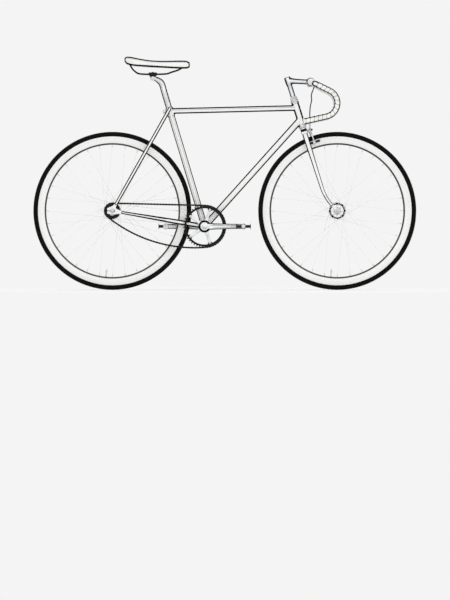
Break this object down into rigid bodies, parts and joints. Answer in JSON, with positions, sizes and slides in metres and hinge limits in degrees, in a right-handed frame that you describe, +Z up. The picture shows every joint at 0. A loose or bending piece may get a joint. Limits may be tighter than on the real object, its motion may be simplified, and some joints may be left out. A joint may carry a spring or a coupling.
{
  "type": "road bike",
  "caption": "Fixed-gear road bike with drop handlebar, horizontal top tube, raked fork, side-pull front brake, deep rims and a slack chain.",
  "frame": {"origin": "on the ground, midway between the two axles, in the plane of the wheels", "axes": "+X forward, +Y to the rider's left, +Z up; the chain is on the -Y side"},
  "size_m": [1.628, 0.4272, 0.992],
  "materials": {
    "frame_paint": "gloss",
    "polished_alloy": "satin",
    "rim_white": "gloss",
    "tyre_rubber": "matte",
    "black_steel": "satin",
    "chain_steel": "satin",
    "bar_tape": "matte",
    "saddle_leather": "satin",
    "brake_rubber": "matte",
    "cable_housing": "satin"
  },
  "bodies": {
    "frame": {"head_tube": "frame_paint", "top_tube": "frame_paint", "down_tube": "frame_paint", "seat_tube": "frame_paint", "bottom_bracket_shell": "frame_paint", "seat_stay_left": "frame_paint", "seat_stay_right": "frame_paint", "chain_stay_left": "frame_paint", "chain_stay_right": "frame_paint", "rear_dropout_left": "frame_paint", "rear_dropout_right": "frame_paint", "seat_stay_bridge": "frame_paint", "seat_binder_bolt": "black_steel", "headset_upper_cup": "polished_alloy", "headset_lower_cup": "polished_alloy", "bottom_bracket_cup_left": "black_steel", "bottom_bracket_cup_right": "black_steel", "rear_axle": "black_steel", "rear_axle_nut_left": "black_steel", "rear_axle_nut_right": "black_steel", "chain": "chain_steel"},
    "seatpost": {"seatpost": "polished_alloy"},
    "saddle_clamp": {"saddle_clamp": "black_steel"},
    "saddle": {"saddle": "saddle_leather", "saddle_rails": "black_steel"},
    "fork": {"fork_crown": "frame_paint", "fork_blade_left": "frame_paint", "fork_blade_right": "frame_paint", "headset_locknut": "polished_alloy", "stem": "polished_alloy", "handlebar": "polished_alloy", "bar_tape_left": "bar_tape", "bar_tape_right": "bar_tape", "front_axle": "black_steel", "front_axle_nut_left": "black_steel", "front_axle_nut_right": "black_steel", "brake_lever_clamp": "black_steel", "brake_cable": "cable_housing", "brake_pivot_bolt": "black_steel"},
    "brake_lever": {"brake_lever": "black_steel"},
    "brake_arm_left": {"brake_arm_left": "polished_alloy", "brake_pad_left": "brake_rubber"},
    "brake_arm_right": {"brake_arm_right": "polished_alloy", "brake_pad_right": "brake_rubber"},
    "front_wheel": {"front_tyre": "tyre_rubber", "front_rim": "rim_white", "front_hub": "polished_alloy"},
    "rear_wheel": {"rear_tyre": "tyre_rubber", "rear_rim": "rim_white", "rear_hub": "polished_alloy", "rear_cog": "black_steel", "cog_lockring": "black_steel"},
    "crankset": {"chainring": "black_steel", "crank_right": "polished_alloy", "crank_left": "polished_alloy", "bottom_bracket_spindle": "black_steel", "pedal_axle_left": "black_steel", "pedal_axle_right": "black_steel"},
    "pedal_left": {"pedal_left": "black_steel"},
    "pedal_right": {"pedal_right": "black_steel"}
  },
  "joints": [
    {"name": "seatpost_height", "type": "slide", "parent": "frame", "child": "seatpost", "axis": [-0.2874, 0, 0.9578], "range_m": [-0.06, 0.04]},
    {"name": "saddle_tilt", "type": "hinge", "parent": "seatpost", "child": "saddle_clamp", "pos_m": [-0.30602, 0, 0.902], "axis": [0, 1, 0], "range_deg": [-8, 8]},
    {"name": "saddle_setback", "type": "slide", "parent": "saddle_clamp", "child": "saddle", "axis": [1, 0, 0], "range_m": [-0.018, 0.018]},
    {"name": "steering", "type": "hinge", "parent": "frame", "child": "fork", "pos_m": [0.32955, 0, 0.69707], "axis": [-0.3007, 0, 0.9537], "range_deg": [-65, 65]},
    {"name": "front_wheel_spin", "type": "hinge", "parent": "fork", "child": "front_wheel", "pos_m": [0.478, 0, 0.336], "axis": [0, 1, 0], "continuous": true},
    {"name": "brake_lever_squeeze", "type": "hinge", "parent": "fork", "child": "brake_lever", "pos_m": [0.39401, -0.055, 0.86601], "axis": [-0.5, 0, -0.866], "range_deg": [0, 10], "stiffness_Nm_per_rad": 1.2, "springref_deg": -17.19},
    {"name": "brake_arm_left_close", "type": "hinge", "parent": "fork", "child": "brake_arm_left", "pos_m": [0.35102, 0, 0.67553], "axis": [-0.9537, 0, -0.3007], "range_deg": [0, 1.7]},
    {"name": "brake_arm_right_close", "type": "hinge", "parent": "fork", "child": "brake_arm_right", "pos_m": [0.35102, 0, 0.67553], "axis": [0.9537, 0, 0.3007], "range_deg": [0, 1.7], "deforming": ["brake_cable"]},
    {"name": "rear_wheel_spin", "type": "hinge", "parent": "frame", "child": "rear_wheel", "pos_m": [-0.478, 0, 0.336], "axis": [0, 1, 0], "continuous": true, "deforming": ["chain"]},
    {"name": "crank_spin", "type": "hinge", "parent": "frame", "child": "crankset", "pos_m": [-0.08602, 0, 0.27], "axis": [0, 1, 0], "continuous": true, "deforming": ["chain"]},
    {"name": "pedal_left_spin", "type": "hinge", "parent": "crankset", "child": "pedal_left", "pos_m": [-0.25102, 0.062, 0.27], "axis": [0, 1, 0], "continuous": true},
    {"name": "pedal_right_spin", "type": "hinge", "parent": "crankset", "child": "pedal_right", "pos_m": [0.07898, -0.062, 0.27], "axis": [0, 1, 0], "continuous": true}
  ],
  "couplings": [
    {"joint": "brake_arm_left_close", "follows": "brake_lever_squeeze", "ratio": 0.17},
    {"joint": "brake_arm_right_close", "follows": "brake_lever_squeeze", "ratio": 0.17},
    {"joint": "crank_spin", "follows": "rear_wheel_spin", "ratio": 0.36364}
  ]
}
